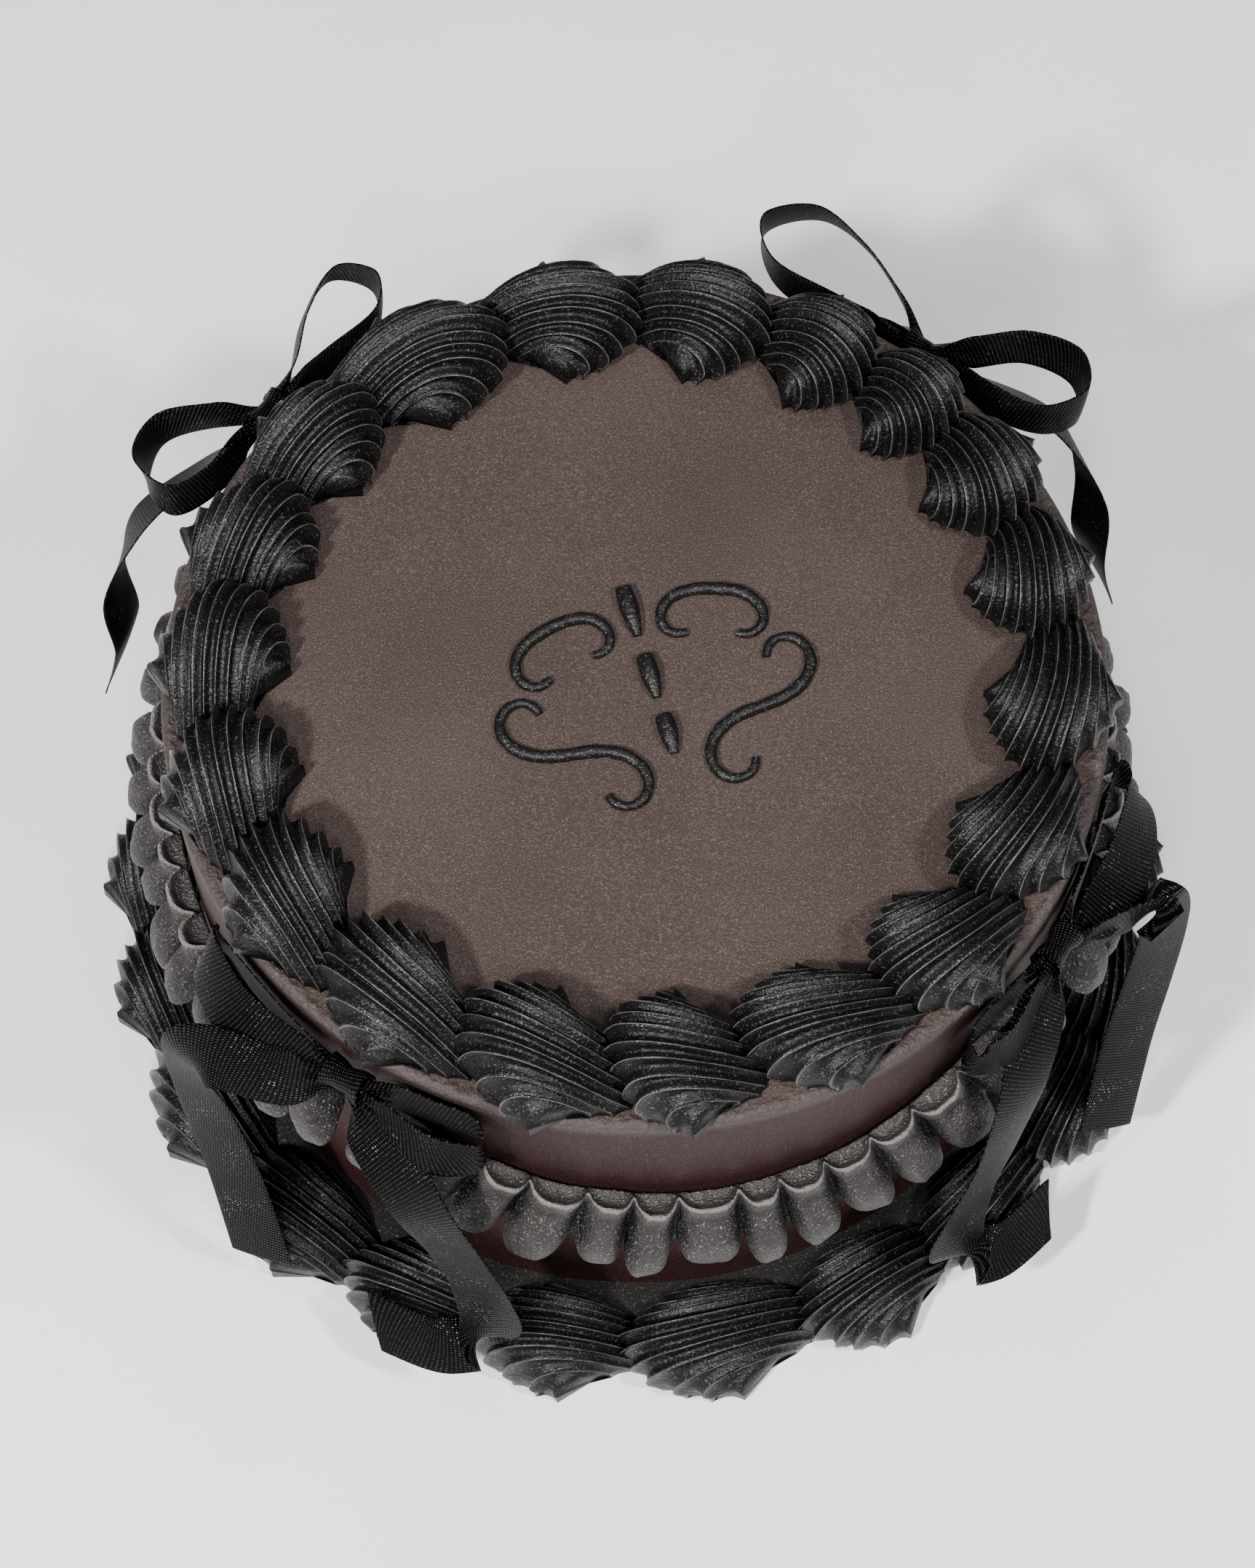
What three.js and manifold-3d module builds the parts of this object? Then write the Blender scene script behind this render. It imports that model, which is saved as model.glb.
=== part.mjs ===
// A round layer cake, iced smooth in near-black buttercream. Piped shells ring its top edge and its foot,
// four ruffle swags hang round its side, and a satin ribbon bow is set where each two swags meet.
// Millimetres, +Z up, origin at the middle of the cake's base on the surface that it stands on.
// Angles are in degrees, counterclockwise from +X seen from above; the front of the cake is at 270.
import * as THREE from 'three';
import Module from 'manifold-3d';
import { mergeVertices } from 'three/addons/utils/BufferGeometryUtils.js';

const wasm = await Module();
wasm.setup();

// Driving dimensions of the iced cake
const cakeRadius = 93.4;
const cakeHeight = 107.2;
const topEdgeRadius = 1.6;
const footEdgeRadius = 0.6;
const cakeSides = 56;
const gap = 0.35;

// Piped shells: each span is the angle from the front of a shell's head to where the next head covers it,
// and skew is how far a tail swings outwards for each millimetre of its length
const topSpans = [16.1, 19.1, 20.6, 22.6, 18.3, 17.1, 19.2, 18.2, 19.6, 21.1, 20.0, 17.6, 21.1, 18.9,
  19.9, 21.5, 17.9, 16.9, 14.3];
const topStart = 53.5;
const topRing = {
  radius: 82.2, halfWidth: 14.4, height: 16.5, base: cakeHeight + gap, wall: 0, skew: 0.15, ridges: 6,
};
const footSpans = [14.8, 15.1, 17.1, 17.3, 15.8, 16.7, 20.2, 17.2, 16.4, 15.9, 15.5, 17.0, 16.5, 15.6,
  16.8, 15.8, 16.5, 15.2, 16.8, 16.0, 15.6, 16.2];
const footStart = 171.5;
const footRing = {
  radius: 105.6, halfWidth: 14, height: 21, base: 0, wall: cakeRadius + gap, skew: -0.08, ridges: 5,
};
const headShare = 0.76;
const headClearance = 0.55;
const weldWithin = 0.08;
const unevenness = { height: 0.06, halfWidth: 0.04, radius: 0.5, lobe: 0.06 };

// Ruffle swags: lobes of a petal tip, each a small cup over a rounded tongue
const bowAngles = [52, 140, 235.6, 328];
const ruffle = { rimLow: 73.5, sag: 22, lobe: 5.8, fold: 0.25, endGap: 5.5, drop: 20, wallGap: 0.55 };

// Satin ribbon
const ribbonWidth = 12.7;
const ribbonThickness = 0.9;
const knotSize = [9, 5.5, 8];
const gathered = { share: 0.35, length: 9 };
const stepsPerPlace = 1.25;

// Piped ornament in the middle of the top
const beadWidth = 2.6;
const beadHeight = 2.1;
const ornamentTilt = 16;
const ornamentPlace = [3, 0, 0];

const icing = new THREE.Color(0x2b2321);
const pipedIcing = new THREE.Color(0x1f1b1d);
const satin = new THREE.Color(0x0c0b0c);

const radians = (degrees) => degrees * Math.PI / 180;
const lerp = THREE.MathUtils.lerp;

// Seeded draw between -1 and 1, so that every run gives the same uneven piping
let seed = 20731;
function draw() {
  seed = (seed * 1664525 + 1013904223) % 4294967296;
  return 2 * seed / 4294967296 - 1;
}

function polar(angle, radius, height) {
  return new THREE.Vector3(radius * Math.cos(radians(angle)), radius * Math.sin(radians(angle)), height);
}

// A closed solid through a row of closed outlines with equal point counts, its two ends closed by fans
function loft(outlines) {
  const count = outlines[0].length;
  const points = outlines.flat();
  const faces = [];
  for (let i = 0; i + 1 < outlines.length; i += 1) {
    for (let j = 0; j < count; j += 1) {
      const a = i * count + j;
      const b = i * count + (j + 1) % count;
      faces.push(a, b, b + count, a, b + count, a + count);
    }
  }
  for (const [row, turn] of [[0, 1], [outlines.length - 1, -1]]) {
    const centre = new THREE.Vector3();
    outlines[row].forEach((point) => centre.addScaledVector(point, 1 / count));
    const middle = points.push(centre) - 1;
    for (let j = 0; j < count; j += 1) {
      const a = row * count + j;
      const b = row * count + (j + 1) % count;
      faces.push(middle, turn > 0 ? b : a, turn > 0 ? a : b);
    }
  }
  return solid(points, faces);
}

function closed(points, faces) {
  const vertProperties = new Float32Array(points.flatMap((point) => point.toArray()));
  const triVerts = new Uint32Array(faces);
  return new wasm.Manifold(new wasm.Mesh({ numProp: 3, vertProperties, triVerts }));
}

function solid(points, faces) {
  const made = closed(points, faces);
  if (made.volume() > 0) return made;
  const flipped = [];
  for (let i = 0; i < faces.length; i += 3) flipped.push(faces[i], faces[i + 2], faces[i + 1]);
  return closed(points, flipped);
}

// Cuts leave points that nearly meet. The higher of two such points moves onto the lower, wherever the
// surface stays closed: the two may have no other neighbours in common than the two faces between them give
function welded(made) {
  const mesh = made.getMesh();
  const points = [];
  for (let i = 0; i < mesh.vertProperties.length; i += 3) {
    points.push(new THREE.Vector3().fromArray(mesh.vertProperties, i));
  }
  let faces = [];
  for (let i = 0; i < mesh.triVerts.length; i += 3) faces.push(Array.from(mesh.triVerts.slice(i, i + 3)));
  for (let pair = nearPair(points, faces); pair; pair = nearPair(points, faces)) {
    const [kept, moved] = pair;
    faces = faces.map((face) => face.map((corner) => (corner === moved ? kept : corner)));
    faces = faces.filter((face) => new Set(face).size === 3);
  }
  const used = [...new Set(faces.flat())];
  const place = new Map(used.map((corner, i) => [corner, i]));
  return closed(used.map((corner) => points[corner]), faces.flat().map((corner) => place.get(corner)));
}

function nearPair(points, faces) {
  const beside = points.map(() => new Set());
  faces.forEach((face) => face.forEach((a) => face.forEach((b) => a !== b && beside[a].add(b))));
  for (let a = 0; a < points.length; a += 1) {
    for (const b of beside[a]) {
      const near = a < b && points[a].distanceTo(points[b]) < weldWithin;
      if (near && [...beside[a]].filter((other) => beside[b].has(other)).length === 2) {
        return points[a].z <= points[b].z ? [a, b] : [b, a];
      }
    }
  }
  return null;
}

// Cake

function geometrySolid(geometry) {
  geometry.deleteAttribute('normal');
  geometry.deleteAttribute('uv');
  const merged = mergeVertices(geometry, 1e-4);
  const position = merged.getAttribute('position');
  const points = [];
  for (let i = 0; i < position.count; i += 1) {
    points.push(new THREE.Vector3().fromBufferAttribute(position, i));
  }
  return solid(points, Array.from(merged.index.array));
}

function cakeBody() {
  const edgeInset = 0.3 * topEdgeRadius;
  const profile = [
    [0, 0], [cakeRadius - footEdgeRadius, 0], [cakeRadius, footEdgeRadius],
    [cakeRadius, cakeHeight - topEdgeRadius], [cakeRadius - edgeInset, cakeHeight - edgeInset],
    [cakeRadius - topEdgeRadius, cakeHeight], [0, cakeHeight],
  ].map(([x, y]) => new THREE.Vector2(x, y));
  return geometrySolid(new THREE.LatheGeometry(profile, cakeSides).rotateX(Math.PI / 2));
}

// A scroll whose curl tightens from its middle towards both ends, the same way in a C scroll and opposite
// ways in an S scroll. It is drawn outwards from its middle, where it has the given place and heading
function scroll({ middle, heading, length, curl, opposite, steps }) {
  const step = length / (2 * steps);
  const [one, other] = [1, -1].map((direction) => {
    const path = [new THREE.Vector2(...middle)];
    let angle = radians(heading);
    for (let i = 0; i < steps; i += 1) {
      const turn = curl * (i + 0.5) / steps * step;
      angle += radians(opposite ? turn : direction * turn);
      const move = new THREE.Vector2(Math.cos(angle), Math.sin(angle)).multiplyScalar(direction * step);
      path.push(path[i].clone().add(move));
    }
    return path;
  });
  return [...other.slice(1).reverse(), ...one];
}

function bead(path, swell) {
  const outlines = path.map((point, i) => {
    const ahead = path[Math.min(i + 1, path.length - 1)];
    const behind = path[Math.max(i - 1, 0)];
    const side = ahead.clone().sub(behind).normalize().rotateAround(new THREE.Vector2(), Math.PI / 2);
    const size = swell(i / (path.length - 1));
    return [[-0.5, -0.5], [-0.32, 0.8], [0.32, 0.8], [0.5, -0.5]].map(([across, up]) => {
      const place = point.clone().addScaledVector(side, across * beadWidth * size);
      return new THREE.Vector3(place.x, place.y, cakeHeight + up * beadHeight * size);
    });
  });
  return loft(outlines);
}

// A row of drops between mirrored scrolls, turned a little like handwriting
function ornament() {
  const forms = [
    { middle: [19, -12], heading: 5, length: 60, curl: 16.5, opposite: true, steps: 9 },
    { middle: [17, 15.5], heading: -16, length: 42, curl: -19, opposite: false, steps: 7 },
  ];
  const taper = (along) => lerp(0.7, 1.05, Math.sin(Math.PI * along));
  const pieces = [];
  for (const mirror of [1, -1]) {
    for (const form of forms) {
      const path = scroll(form).map((point) => new THREE.Vector2(mirror * point.x, point.y));
      pieces.push(bead(path, taper));
    }
  }
  for (const [from, to] of [[-17, -9], [-4.5, 4.5], [9.5, 20]]) {
    const path = [0, 0.3, 0.7, 1].map((along) => new THREE.Vector2(0, lerp(from, to, along)));
    pieces.push(bead(path, (along) => lerp(0.5, 1.5, Math.sin(Math.PI * (0.1 + 0.6 * along)))));
  }
  return wasm.Manifold.union(pieces).rotate([0, 0, ornamentTilt]).translate(ornamentPlace);
}

// Piped shells

// Side view of a shell along its middle: share of its span from the eye towards the head, share of its
// height, spread of its ridges as a share of the half width, and depth of its channels in millimetres
const shellSide = [
  { along: 0.64, up: 0.00, spread: 1.00, channel: 1.2 },
  { along: 0.76, up: 0.32, spread: 0.98, channel: 1.6 },
  { along: 0.64, up: 0.80, spread: 0.88, channel: 1.7 },
  { along: 0.32, up: 1.00, spread: 0.78, channel: 1.6 },
  { along: -0.10, up: 0.78, spread: 0.69, channel: 1.2 },
  { along: -0.55, up: 0.00, spread: 0.60, channel: 0.3 },
];
const eyeHeight = 0.2;
const lastRidge = 75;

// Each ridge is a loop from the head's foot over its crown to the tail. To both sides the loops shrink about
// the eye, so that they lie one inside the next
function shellOutlines(shell, grow = 0) {
  const columns = [];
  for (let i = 0; i <= 2 * shell.ridges; i += 1) {
    columns.push({ share: i / shell.ridges - 1, channel: i % 2 === 0 });
  }
  const kept = grow > 0 ? columns.filter(({ share, channel }) => !channel || Math.abs(share) === 1) : columns;
  return kept.map(({ share, channel }) => {
    const angle = radians(lastRidge * share);
    return shellSide.map((place) => {
      const along = place.along * shell.span;
      const up = (place.up - eyeHeight) * shell.height;
      const inward = (channel && grow === 0 ? place.channel : 0) - grow;
      const shrink = Math.cos(angle) * (1 - inward / Math.hypot(along, up));
      const sideways = Math.sin(angle) * (shell.halfWidth * place.spread - inward);
      const height = place.up === 0 ? -grow : Math.max(0, eyeHeight * shell.height + up * shrink);
      return shellPoint(shell, along * shrink, sideways - shell.skew * along * shrink, height);
    });
  });
}

function shellPoint(shell, along, sideways, height) {
  const radius = Math.max(shell.radius + sideways, shell.wall);
  return polar(shell.eye - along / radians(shell.radius), radius, shell.base + height);
}

function shellRing(ring, spans, start) {
  let front = start;
  return spans.map((span) => {
    const shell = {
      ...ring,
      eye: front + headShare * span,
      span: radians(span) * ring.radius,
      height: ring.height * (1 + unevenness.height * draw()),
      halfWidth: ring.halfWidth * (1 + unevenness.halfWidth * draw()),
      radius: ring.radius + unevenness.radius * draw(),
    };
    front += span;
    return shell;
  });
}

// Each tail ends where the next head covers it
function shellSolids(shells) {
  return shells.map((shell, i) => {
    const next = shells[(i + 1) % shells.length];
    return largest(loft(shellOutlines(shell)).subtract(loft(shellOutlines(next, headClearance))));
  });
}

function largest(made) {
  return made.decompose().sort((a, b) => b.volume() - a.volume())[0];
}

// Ruffle swags

// Outline of the ruffle across its length: millimetres out from the wall and down from its rim,
// first in a fold between two lobes and then at the middle of a lobe
function ruffleOutline(lobe, size) {
  return [
    [ruffle.wallGap, lerp(3.2, 2, lobe)],
    [lerp(2.4, 4.8, lobe), lerp(1.6, 0, lobe)],
    [lerp(4.2, 6.8, lobe), lerp(8, 9, lobe)],
    [lerp(6.6, 12, lobe) * size, lerp(ruffle.drop - 4, ruffle.drop, lobe) * size],
    [ruffle.wallGap, ruffle.drop - 5],
  ];
}

function swag(from, to) {
  const start = from + ruffle.endGap;
  const end = to - ruffle.endGap;
  const lobes = Math.round((end - start) / ruffle.lobe);
  const middle = (from + to) / 2;
  const half = (to - from) / 2;
  const outlines = [];
  const steps = [0, ruffle.fold, 1 - ruffle.fold];
  for (let i = 0; i <= 3 * lobes; i += 1) {
    const angle = lerp(start, end, (Math.floor(i / 3) + steps[i % 3]) / lobes);
    const across = (angle - middle) / half;
    const slope = Math.atan2(2 * ruffle.sag * across, radians(half) * cakeRadius);
    const size = 1 + unevenness.lobe * draw();
    outlines.push(ruffleOutline(i % 3 === 0 ? 0 : 1, size).map(([out, down]) => {
      const turned = angle + down * Math.sin(slope) / radians(cakeRadius);
      const height = ruffle.rimLow + ruffle.sag * across * across - down * Math.cos(slope);
      return polar(turned, cakeRadius + out, height);
    }));
  }
  return loft(outlines);
}

// Ribbon bows

// Every strand starts in its bow's knot, and a loop comes back to it. A place on a strand's middle line is
// its angle, its distance from the cake's axis and its height. Then comes the way from one edge of the ribbon
// to the other: turned from straight down towards larger angles, and leaning outwards
const bows = [
  {
    name: 'back_right',
    knot: [53, 98.8, 99.5, 0, 0],
    loops: [
      [[59, 107, 100, 0, 20], [65, 114, 101, 0, 25], [71, 117.5, 102, 0, 20], [76, 111.5, 102, 0, 15],
        [74, 103, 101, 0, 10], [66, 98.6, 100, 0, 0]],
      [[48.5, 105, 101, 0, 0], [44.5, 114, 101, 0, 0], [39.5, 118.5, 100, 0, -5], [36, 114, 99, 0, -5],
        [37, 105, 99, 0, 5], [43, 99.5, 99, 0, 0]],
    ],
    tails: [
      [[46, 105, 94, 20, 30], [38, 113, 86, 50, 30], [33, 115.5, 72, 80, 5], [31, 115, 52, 90, 0],
        [31, 122, 28, 90, 10]],
      [[59, 105, 92, -40, 30], [64, 111, 78, -80, 5], [66, 113, 56, -90, 0], [68, 122, 28, -90, 10]],
    ],
  },
  {
    name: 'back_left',
    knot: [140, 98.8, 99.5, 0, 0],
    loops: [
      [[134.5, 102, 101, 0, 15], [129, 110, 102, 0, 20], [123.5, 115, 103, 0, 20], [120, 109, 102, 0, 15],
        [122, 101, 101, 0, 5], [130, 98.4, 100, 0, 0]],
      [[144.5, 107, 101, 0, 10], [149, 114, 101, 0, 0], [153.5, 112.5, 100, 0, -10], [155, 104.5, 99, 0, 0],
        [149, 98.8, 99, 0, 0]],
    ],
    tails: [
      [[148, 104, 94, -20, 30], [156, 112.5, 86, -50, 30], [160, 116, 72, -80, 5], [161, 115, 52, -90, 0],
        [161, 122, 28, -90, 10]],
      [[134, 105, 92, 40, 30], [130, 111, 78, 80, 5], [128, 113, 56, 90, 0], [126, 122, 28, 90, 10]],
    ],
  },
  {
    name: 'front_left',
    knot: [236, 97.4, 99.5, 0, 10],
    loops: [
      [[229.6, 100.4, 101, 0, 25], [221, 102.5, 101, 0, 38], [214, 99.5, 101, 0, 25], [213, 96, 100.2, 0, 0],
        [220, 95.2, 100.2, 0, 0], [228, 95.8, 100, 0, 0]],
      [[242, 100.5, 98.5, 0, 15], [248.5, 102.5, 98, 0, 15], [253, 99.5, 99, 0, 5], [252, 96, 99.5, 0, 0],
        [246, 95.4, 99.5, 0, 0]],
    ],
    tails: [
      [[229, 104.5, 96, 10, 50], [222.5, 109.5, 94.5, 25, 52], [219, 113, 86, 70, 20], [221, 113, 66, 90, 0],
        [225.5, 115.5, 44, 80, 0], [231, 121.5, 18, 70, 0]],
      [[242, 103, 94, -45, 35], [248, 109.5, 84, -60, 15], [252, 111, 66, -65, 0], [254.5, 112, 46, -75, 0],
        [255, 114.5, 29, -60, 20], [250.5, 118, 21, 0, 40], [243, 118, 18, 0, 40]],
    ],
  },
  {
    name: 'front_right',
    knot: [326.5, 97.4, 100, 0, 10],
    loops: [
      [[333, 101, 100.5, 0, 40], [341, 102.5, 100, 0, 45], [348.5, 100.5, 99, 0, 25], [350, 96.2, 99, 0, 0],
        [342, 95.2, 99.5, 0, 0], [334, 95.6, 99.5, 0, 0]],
      [[320.5, 100.5, 97.5, 0, 10], [314.5, 102.5, 96, 0, 10], [310.5, 99.5, 97, 0, 5], [312, 96, 98.5, 0, 0],
        [318, 95.4, 99.5, 0, 0]],
    ],
    tails: [
      [[331.5, 104, 98, 10, 5], [336.5, 110, 96.5, 25, 10], [339.5, 113.8, 89, 60, 40],
        [339, 114, 68, 90, 58], [334.5, 115, 42, 90, 55], [328.5, 118, 17, 90, 45]],
      [[320, 102, 93, 45, 35], [315, 107.5, 83, 60, 15], [311, 110.5, 63, 65, 0], [307.5, 112, 44, 75, 0],
        [306, 114.5, 28, 60, 20], [310.5, 118, 20, 0, 40], [317.5, 118.5, 18, 0, 40]],
    ],
  },
];

function strandSolid(places, looped, grow) {
  const route = places.map(([angle, radius, height]) => polar(angle, radius, height));
  const middle = new THREE.CatmullRomCurve3(route, false, 'centripetal');
  const edges = new THREE.CatmullRomCurve3(places.map(([angle, , , turn, lean]) => {
    const level = Math.cos(radians(lean)) * Math.sin(radians(turn));
    const wayOut = polar(angle, Math.sin(radians(lean)), -Math.cos(radians(lean)) * Math.cos(radians(turn)));
    return wayOut.add(polar(angle + 90, level, 0));
  }), false, 'centripetal');
  const steps = Math.round(stepsPerPlace * places.length);
  const length = middle.getLength();
  const outlines = [];
  for (let i = 0; i <= steps; i += 1) {
    const tangent = middle.getTangentAt(i / steps);
    const point = middle.getPointAt(i / steps);
    const across = edges.getPoint(middle.getUtoTmapping(i / steps));
    across.addScaledVector(tangent, -across.dot(tangent)).normalize();
    const through = new THREE.Vector3().crossVectors(tangent, across);
    const fromKnot = length * Math.min(i / steps, looped ? 1 - i / steps : 1);
    const half = ribbonWidth / 2 * lerp(gathered.share, 1, Math.min(1, fromKnot / gathered.length)) + grow;
    const thin = ribbonThickness / 2 + grow;
    outlines.push([[1, 1], [-1, 1], [-1, -1], [1, -1]].map(([a, b]) => point.clone()
      .addScaledVector(across, a * half).addScaledVector(through, b * thin)));
  }
  return loft(outlines);
}

function knotSolid([angle, radius, height], grow) {
  const [along, out, up] = knotSize.map((size) => size + 2 * grow);
  const ball = new THREE.SphereGeometry(0.5, 6, 4).scale(out, along, up).rotateZ(radians(angle));
  return geometrySolid(ball.translate(...polar(angle, radius, height)));
}

// Strands leave the knot's middle on the side that they run to
function bowSolid({ knot, loops, tails }, grow = 0) {
  const leaving = (place) => knot.map((value, i) => lerp(value, place[i], 0.2));
  const strands = [
    ...loops.map((places) => [[leaving(places[0]), ...places, leaving(places.at(-1))], true]),
    ...tails.map((places) => [[leaving(places[0]), ...places], false]),
  ];
  const made = strands.map(([places, looped]) => strandSolid(places, looped, grow));
  return largest(wasm.Manifold.union([knotSolid(knot, grow), ...made]));
}

// The whole cake

const group = new THREE.Group();

function addMesh(name, made, color, roughness) {
  const { vertProperties, triVerts } = welded(made).getMesh();
  const geometry = new THREE.BufferGeometry();
  geometry.setAttribute('position', new THREE.BufferAttribute(new Float32Array(vertProperties), 3));
  geometry.setIndex(new THREE.BufferAttribute(new Uint32Array(triVerts), 1));
  const mesh = new THREE.Mesh(geometry, new THREE.MeshStandardMaterial({ color, roughness, metalness: 0 }));
  mesh.name = name;
  group.add(mesh);
}

// Soft icing gives way where a ribbon is pressed into it
function pressedBy(made, ribbons) {
  const touching = ribbons.filter((ribbon) => made.intersect(ribbon).volume() > 0);
  if (touching.length === 0) return made;
  return largest(touching.reduce((rest, ribbon) => rest.subtract(ribbon), made));
}

const pressedRoom = bows.map((bow) => bowSolid(bow, gap));
const number = (i) => String(i + 1).padStart(2, '0');

addMesh('cake_body', cakeBody().add(ornament()), icing, 0.72);

shellSolids(shellRing(topRing, topSpans, topStart)).forEach((made, i) => {
  addMesh(`top_shell_${number(i)}`, pressedBy(made, pressedRoom), pipedIcing, 0.5);
});

shellSolids(shellRing(footRing, footSpans, footStart)).forEach((made, i) => {
  addMesh(`foot_shell_${number(i)}`, pressedBy(made, pressedRoom), pipedIcing, 0.5);
});

bowAngles.forEach((from, i) => {
  const to = i + 1 < bowAngles.length ? bowAngles[i + 1] : bowAngles[0] + 360;
  addMesh(`swag_${number(i)}`, pressedBy(swag(from, to), pressedRoom), pipedIcing, 0.5);
});

bows.forEach((bow) => addMesh(`bow_${bow.name}`, bowSolid(bow), satin, 0.35));

export default group;
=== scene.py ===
# %% [markdown]
# # A piped celebration cake
# The cake is a tall round one, iced smooth in near-black buttercream. Shells are piped round its top edge and
# its foot, ruffle swags hang round its side, satin ribbon bows are set where the swags meet, and a small
# piped scroll lies in the middle of the top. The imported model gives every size, in metres, with the middle of
# the cake's base at the origin. The looks are built on top of it, so nothing here may change how big the cake
# is.

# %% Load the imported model
from math import cos, pi, radians, sin

import bpy
import numpy as np
from mathutils import Matrix, Vector


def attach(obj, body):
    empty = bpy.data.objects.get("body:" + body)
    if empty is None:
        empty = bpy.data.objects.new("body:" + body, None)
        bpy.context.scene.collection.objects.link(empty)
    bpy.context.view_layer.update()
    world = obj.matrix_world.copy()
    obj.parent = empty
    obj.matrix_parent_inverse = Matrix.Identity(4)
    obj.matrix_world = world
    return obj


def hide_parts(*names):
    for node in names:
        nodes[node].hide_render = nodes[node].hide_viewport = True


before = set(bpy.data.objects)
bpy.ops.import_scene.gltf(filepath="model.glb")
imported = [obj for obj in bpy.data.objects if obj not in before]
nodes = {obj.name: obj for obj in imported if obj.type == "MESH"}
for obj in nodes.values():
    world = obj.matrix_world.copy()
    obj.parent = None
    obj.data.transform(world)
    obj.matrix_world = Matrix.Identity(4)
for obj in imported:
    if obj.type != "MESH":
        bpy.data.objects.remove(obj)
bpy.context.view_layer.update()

MM = 0.001
print("loaded", len(nodes), "solids")

# %% [markdown]
# ## Camera
# The cake is seen from above at a steep angle, through a long lens. The camera comes first. Turning it first
# about its own sideways axis and then about its line of sight keeps the two angles apart, so they're multiplied
# as matrices and not given as Euler angles.

# %% Camera
LENS = 83.49
LOOK_DOWN = radians(65.891)
ROLL = radians(0.246)
EYE = Vector((-1.5, -311.2, 751.8)) * MM

bpy.ops.object.camera_add()
camera = bpy.context.object
camera.data.lens = LENS
camera.data.sensor_width = 36
camera.data.clip_start = 0.01
camera.matrix_world = (Matrix.Translation(EYE) @ Matrix.Rotation(pi / 2 - LOOK_DOWN, 4, "X")
                       @ Matrix.Rotation(ROLL, 4, "Z"))
bpy.context.scene.camera = camera
print("camera", round(EYE.length, 3), "m from the middle of the base")

# %% [markdown]
# ## Light and floor
# Dark icing shows its form through highlights, so two small soft boxes stand in front, left and right, and
# rake over the ridges. The left one is nearer, so the top grows darker towards the back right. A weak one
# beside the camera lights the far shells, and a wide one overhead fills the channels. The floor is plain and
# pale, so the dark outline is easy to read. It is part of the stage and not of the cake.

# %% Light and floor
AIM = Vector((0, 0, 60)) * MM


def soft_box(name, place, size, power, colour):
    bpy.ops.object.light_add(type="AREA", location=place)
    lamp = bpy.context.object
    lamp.name = name
    lamp.data.shape = "DISK"
    lamp.data.size = size
    lamp.data.energy = power
    lamp.data.color = colour
    lamp.rotation_euler = (AIM - Vector(place)).to_track_quat("-Z", "Y").to_euler()
    return lamp


soft_box("light_front_left", (-0.50, -0.52, 0.92), 0.1, 22, (1.0, 0.97, 0.93))
soft_box("light_front_right", (0.80, -0.42, 1.3), 0.15, 22, (1.0, 0.97, 0.94))
soft_box("light_by_camera", (0.0, -0.70, 1.05), 0.2, 9, (1.0, 0.98, 0.97))
soft_box("light_overhead", (0.0, 0.5, 1.5), 0.9, 6, (0.93, 0.97, 1.0))
world = bpy.data.worlds.new("studio")
world.use_nodes = True
sky = world.node_tree.nodes["Background"]
sky.inputs["Color"].default_value = (0.86, 0.88, 0.92, 1)
sky.inputs["Strength"].default_value = 0.09
bpy.context.scene.world = world

bpy.ops.mesh.primitive_plane_add(size=6, location=(0, 0, -0.2 * MM))
floor = bpy.context.object
floor.name = "floor"
print("lights and floor are in place")

# %% [markdown]
# ## Writing shader maths as plain expressions
# A material is a web of small nodes, and long formulas are hard to read as nodes. A small class wraps a
# socket, so that `1 - mask * 0.3` adds the Math nodes by itself. Every other kind of node comes from one
# method, which sets the node's own choices first and then fills its inputs with values or links.

# %% Shader helper
class Wire:
    def __init__(self, tree, socket):
        self.tree, self.socket = tree, socket

    def node(self, kind, settings=None, inputs=None, output=0):
        made = self.tree.nodes.new(kind)
        for key, value in (settings or {}).items():
            setattr(made, key, value)
        for key, value in (inputs or {}).items():
            if isinstance(value, Wire):
                self.tree.links.new(value.socket, made.inputs[key])
            else:
                made.inputs[key].default_value = value
        return Wire(self.tree, made.outputs[output])

    def _maths(self, operation, one, other=0.0):
        return self.node("ShaderNodeMath", {"operation": operation}, {0: one, 1: other})

    def __add__(self, other):
        return self._maths("ADD", self, other)

    def __radd__(self, other):
        return self._maths("ADD", other, self)

    def __sub__(self, other):
        return self._maths("SUBTRACT", self, other)

    def __rsub__(self, other):
        return self._maths("SUBTRACT", other, self)

    def __mul__(self, other):
        return self._maths("MULTIPLY", self, other)

    def __rmul__(self, other):
        return self._maths("MULTIPLY", other, self)

    def __pow__(self, other):
        return self._maths("POWER", self, other)

    def sine(self):
        return self._maths("SINE", self)

    def between(self, low, high):
        """0 below low, 1 above high and a soft step between them"""
        return self.node("ShaderNodeMapRange", {"interpolation_type": "SMOOTHSTEP"},
                         {"Value": self, "From Min": low, "From Max": high})

    def blend(self, one, other):
        """A colour between one and other by this value"""
        return self.node("ShaderNodeMix", {"data_type": "RGBA"}, {0: self, 6: one, 7: other}, output=2)


def start_material(name):
    material = bpy.data.materials.new(name)
    material.use_nodes = True
    tree = material.node_tree
    shader = tree.nodes["Principled BSDF"]
    return material, tree, shader


def noise_at(here, place, scale, detail=3.0, roughness=0.55):
    return here.node("ShaderNodeTexNoise", {}, {"Vector": place, "Scale": scale, "Detail": detail,
                                                "Roughness": roughness})


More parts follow.
